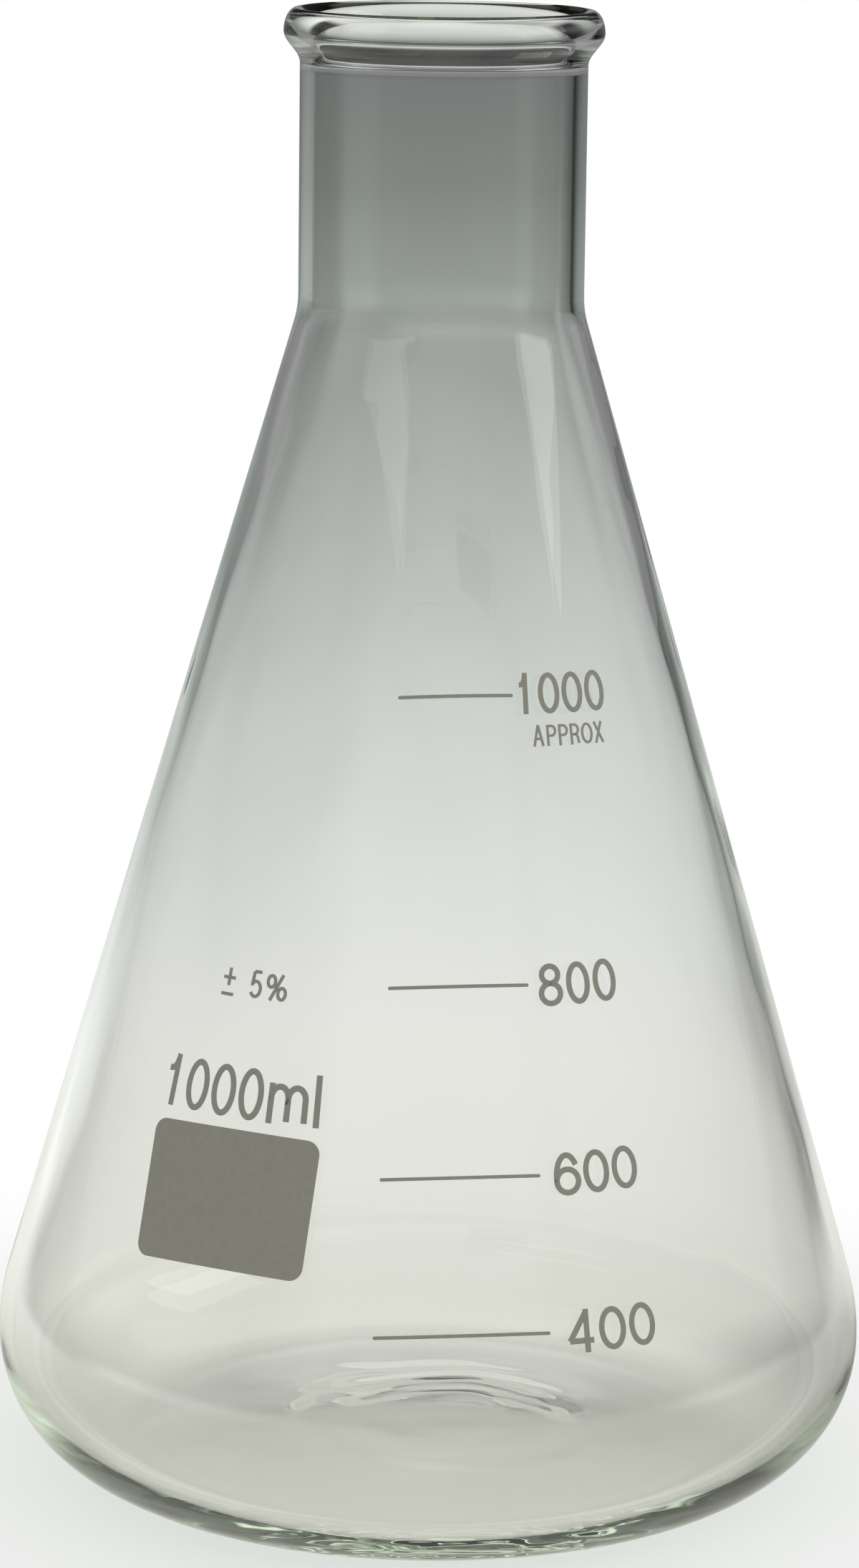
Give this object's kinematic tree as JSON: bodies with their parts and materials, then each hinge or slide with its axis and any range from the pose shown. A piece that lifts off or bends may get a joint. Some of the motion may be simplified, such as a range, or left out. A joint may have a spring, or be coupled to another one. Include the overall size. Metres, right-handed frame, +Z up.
{
  "type": "erlenmeyer flask",
  "caption": "Conical glass laboratory flask with a cylindrical neck, a beaded rim, a pushed-up base, printed graduation lines and a marking spot.",
  "frame": {"origin": "centre of the foot ring, on the surface that the flask stands on", "axes": "+Z up along the axis of revolution, towards the mouth; the print faces -Y"},
  "size_m": [0.131, 0.131, 0.22],
  "materials": {
    "borosilicate_glass": "clear, fire-polished",
    "fired_enamel": "opaque grey-brown enamel print, fired on"
  },
  "bodies": {
    "root": {"flask": "borosilicate_glass", "graduation_lines": "fired_enamel", "marking_spot": "fired_enamel"}
  },
  "joints": []
}
